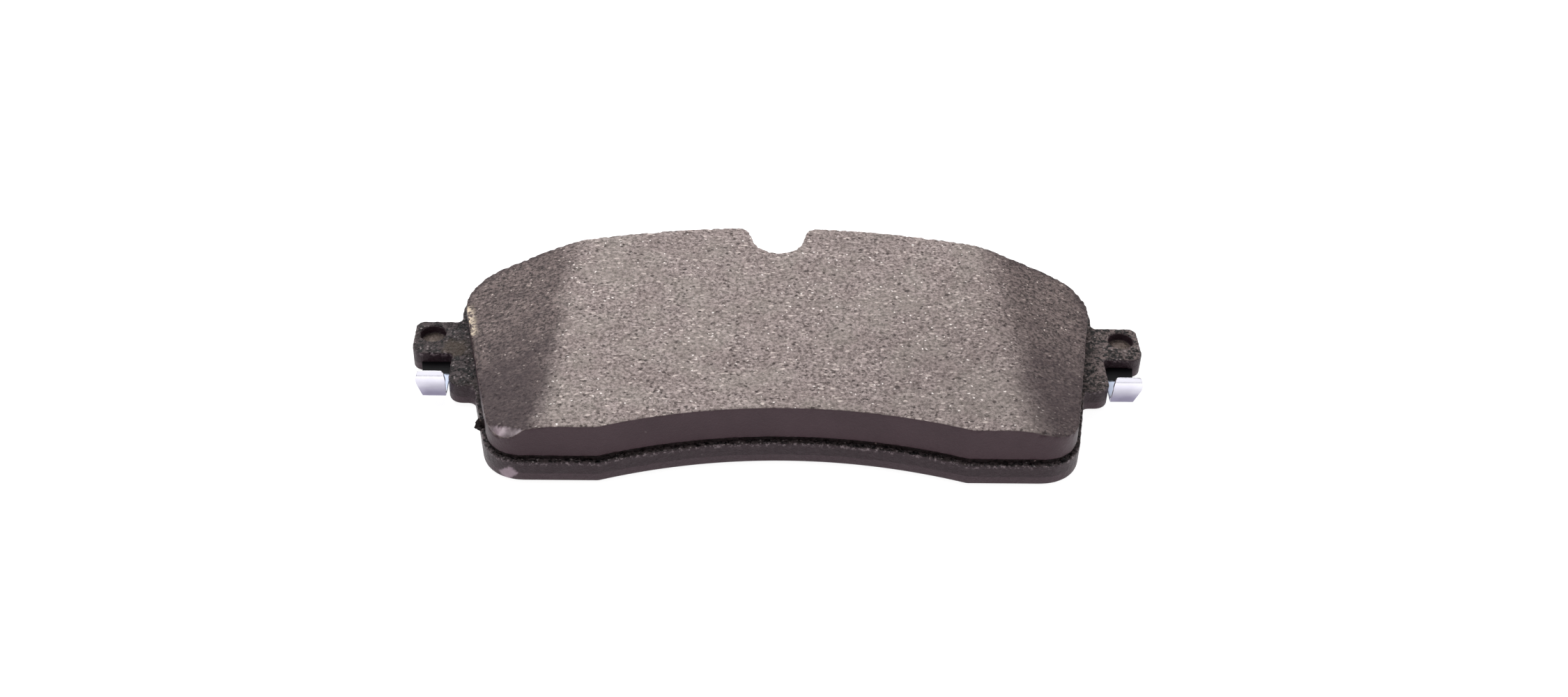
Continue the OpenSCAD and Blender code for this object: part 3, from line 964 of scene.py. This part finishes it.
def build_clip(side, material):
    """A clip as it is made: blanked flat with its round eye, then bent along the strip."""
    name = {-1: "left", 1: "right"}[side]
    base_low, base_high = box(name + "_clip_base")
    leaf_low, leaf_high = box(name + "_clip_leaf")
    loops = flat_loops(name + "_clip_base", base_high[2])
    hole = min(loops, key=area)
    eye = (hole.max(0) + hole.min(0)) / 2
    hole_r = (hole.max(0) - hole.min(0))[0] / 2
    eye_r = base_high[1] - eye[1]
    strip_edge = base_low[0] if side > 0 else base_high[0]
    leaf_x = (leaf_low[0] + leaf_high[0]) / 2
    strip_w = 2 * abs(leaf_x - strip_edge)
    mid_z = base_high[2] - STRIP_T / 2
    hinge = next(j for j in frame["joints"] if j["child"] == name + "_leaf")["pos_m"]
    hinge = np.array(hinge) / MM
    slope_y = eye_slope(name)
    fold = (leaf_low[1] + STRIP_T / 2 + 0.001, hinge[2] + FOLD_RISE)
    tip = (fold[0] + TIP_BACK, leaf_high[2] - 0.05)
    corners = [(eye[1] + eye_r, mid_z), (slope_y, mid_z), tuple(hinge[1:]), fold, tip]
    path = side_path(corners, (SLOPE_BEND, LOW_BEND, FOLD_BEND))
    run = np.r_[0, np.cumsum(np.linalg.norm(np.diff(path, axis=0), axis=1))]

    def along(y, z):
        """Distance along the strip to the centre line's point nearest (y, z)."""
        return run[np.argmin(np.linalg.norm(path - [y, z], axis=1))]

    # the flat blank, in x and the distance s along the strip
    stations = [
        (along(slope_y + 1, mid_z), strip_w),
        (along(*hinge[1:]) - 2.5, (strip_w + 2 * LEAF_LOW_W) / 3),
        (along(*hinge[1:]), LEAF_LOW_W),
        (along(*fold), LEAF_FOLD_W),
        (run[-1], LEAF_TIP_W),
    ]
    left = [(leaf_x - w / 2, s) for s, w in stations]
    right = [(leaf_x + w / 2, s) for s, w in stations]

    def about_eye(radius, angles):
        return [(eye[0] + radius * math.cos(a), eye_r - radius * math.sin(a)) for a in angles]

    round_eye = about_eye(eye_r, np.linspace(0, math.pi, 24))
    blank = np.array(round_eye + left + right[::-1])
    if area(blank) < 0:
        blank = blank[::-1]
    blank = ease_corners(resample(blank, 0.3, 0), 5)
    ring = np.array(about_eye(hole_r, np.linspace(0, 2 * math.pi, 48, endpoint=False)))
    if area(ring) > 0:
        ring = ring[::-1]
    inner = scatter([blank, ring], 0.35, seed=10)
    profile = [(0.19, 0, 0), *wall_profile(0.16, 0.16, 2, 3), (0.19, 1, 0)]
    half = STRIP_T / 2
    points, faces = solid([blank, ring], profile, level(-half), level(half), inner, inner)

    # bent: s follows the centre line, and the strip's thickness its normal
    s = np.clip(points[:, 1], 0, run[-1])
    y, z = np.interp(s, run, path[:, 0]), np.interp(s, run, path[:, 1])
    direction = np.gradient(path, run + np.arange(len(run)) * 1e-9, axis=0)
    dy, dz = np.interp(s, run, direction[:, 0]), np.interp(s, run, direction[:, 1])
    size = np.hypot(dy, dz)
    rise = points[:, 2]
    extra = points[:, 1] - s
    y = y + (dz * rise + dy * extra) / size
    z = z + (-dy * rise + dz * extra) / size
    bent = np.c_[points[:, 0], y, z]
    piece = make(name + "_clip_piece", bent, [f[::-1] for f in faces], material, 50)
    on_leaf = bent[:, 1] < hinge[1] + 1.0
    # the bright mark sets where the leaf's painted reflection is light or dark
    mark(piece, "bright", np.where(on_leaf, ease(bent[:, 2], 3.0, 12.6), 0.6))
    # the flat mark places the slope's painted reflection
    mark(piece, "flat", ease(bent[:, 1], hinge[1] + 0.6, hinge[1] + 2.0))
    # painted shade: near-black on the base from here back into the pocket
    edge = hinge[1] + POCKET_SHADE_END + 0.25 * fractal(bent, 1.5, 3, 41)
    mark(piece, "painted", ease(bent[:, 1], edge - 0.2, edge + 0.2))
    return piece, hinge


def eye_slope(name):
    """Where a clip's flat base ends and its slope starts: the base's top face ends there."""
    top = box(name + "_clip_base")[1][2]
    return min(loop[:, 1].min() for loop in flat_loops(name + "_clip_base", top))


def ease_corners(loop, times):
    for _ in range(times):
        loop = (np.roll(loop, 1, 0) + 2 * loop + np.roll(loop, -1, 0)) / 4
    return loop


# ---------------------------------------------------------------- the whole pad


def build_pad():
    plate_coat = plate_material()
    steel = clip_material()
    parts = [
        (build_plate(plate_coat), "backing_plate", "plate_coat"),
        (build_underlayer(underlayer_material()), "underlayer", "underlayer_mix"),
        (build_friction_block(friction_material()), "friction_block", "friction_mix"),
    ]
    for node, slot, material, rounding, rough in (
        ("shim_adhesive", "shim_glue", shim_glue_material(), 0.04, 0.35),
        ("shim_steel_core", "shim_steel", shim_steel_material(), 0.08, 0),
        ("shim_rubber_facing", "shim_rubber", shim_rubber_material(), 0.06, 0.05),
    ):
        parts.append((build_shim_layer(node, material, rounding, rough), node, slot))
    for piece, node, slot in parts:
        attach(piece, "pad")
        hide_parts(node)
    for side, name in ((-1, "left"), (1, "right")):
        piece, hinge = build_clip(side, steel)
        start = Vector(hinge * MM) + Vector((0, 0.0012, 0.0004))
        end = Vector(hinge * MM) + Vector((0, -0.0008, 0.0016))
        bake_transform(piece, "pad", name + "_leaf", start=start, end=end)
        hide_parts(name + "_clip_base", name + "_clip_leaf")


# ---------------------------------------------------------------- stage


# The stage is in metres and watts, and the camera's turn in degrees.
TABLE_Z = -0.00005  # a hair below the shim, so that the two surfaces don't coincide
TABLE_HALF = 3.0  # half the table's side
SOFTBOXES = {  # place, size and power
    "back": ((-0.1, 0.62, 0.75), (0.9, 0.75), 8.5),
    "top": ((-0.24, 0.1, 0.5), (0.45, 0.45), 1.15),
    "front": ((0.0, -0.85, 0.4), (0.9, 0.75), 1.9),
    "left": ((-0.8, -0.3, 0.35), (0.5, 0.5), 1.3),
    "right": ((0.78, -0.1, 0.25), (0.5, 0.5), 2.1),
}
FILL_LIGHT = 0.22  # strength of the even white light from all round
LENS_MM, SENSOR_MM = 43.91, 36.0
CAMERA_PLACE = (-0.018434, -0.387933, 0.316257)
CAMERA_TURN = (51.6077, -1.8666, -1.3855)  # about X, then Y, then Z


def build_stage():
    """The white table, the soft lights and the camera at the photograph's angle."""
    scene = bpy.context.scene
    h, z = TABLE_HALF, TABLE_Z
    mesh = bpy.data.meshes.new("table")
    mesh.from_pydata([(-h, -h, z), (h, -h, z), (h, h, z), (-h, h, z)], [], [(0, 1, 2, 3)])
    table = bpy.data.objects.new("table", mesh)
    mesh.materials.append(floor_material())
    scene.collection.objects.link(table)

    for name, (place, size, power) in SOFTBOXES.items():
        softbox("softbox_" + name, place, size, power)

    world = bpy.data.worlds.new("studio")
    world.use_nodes = True
    background = world.node_tree.nodes["Background"].inputs
    background["Color"].default_value = (1, 1, 1, 1)
    background["Strength"].default_value = FILL_LIGHT
    scene.world = world
    scene.view_settings.view_transform = "Standard"

    lens = bpy.data.cameras.new("camera")
    lens.sensor_width, lens.lens = SENSOR_MM, LENS_MM
    lens.clip_start, lens.clip_end = 0.01, 20
    camera = bpy.data.objects.new("camera", lens)
    camera.location = CAMERA_PLACE
    camera.rotation_euler = [math.radians(angle) for angle in CAMERA_TURN]
    scene.collection.objects.link(camera)
    scene.camera = camera


def softbox(name, place, size, power):
    """A rectangular area light that faces the pad."""
    lamp = bpy.data.lights.new(name, "AREA")
    lamp.shape = "RECTANGLE"
    lamp.size, lamp.size_y = size
    lamp.energy = power
    light = bpy.data.objects.new(name, lamp)
    light.location = place
    light.rotation_mode = "QUATERNION"
    light.rotation_quaternion = (-Vector(place)).to_track_quat("-Z", "Y")
    bpy.context.scene.collection.objects.link(light)


build_stage()
build_pad()

bpy.context.view_layer.update()
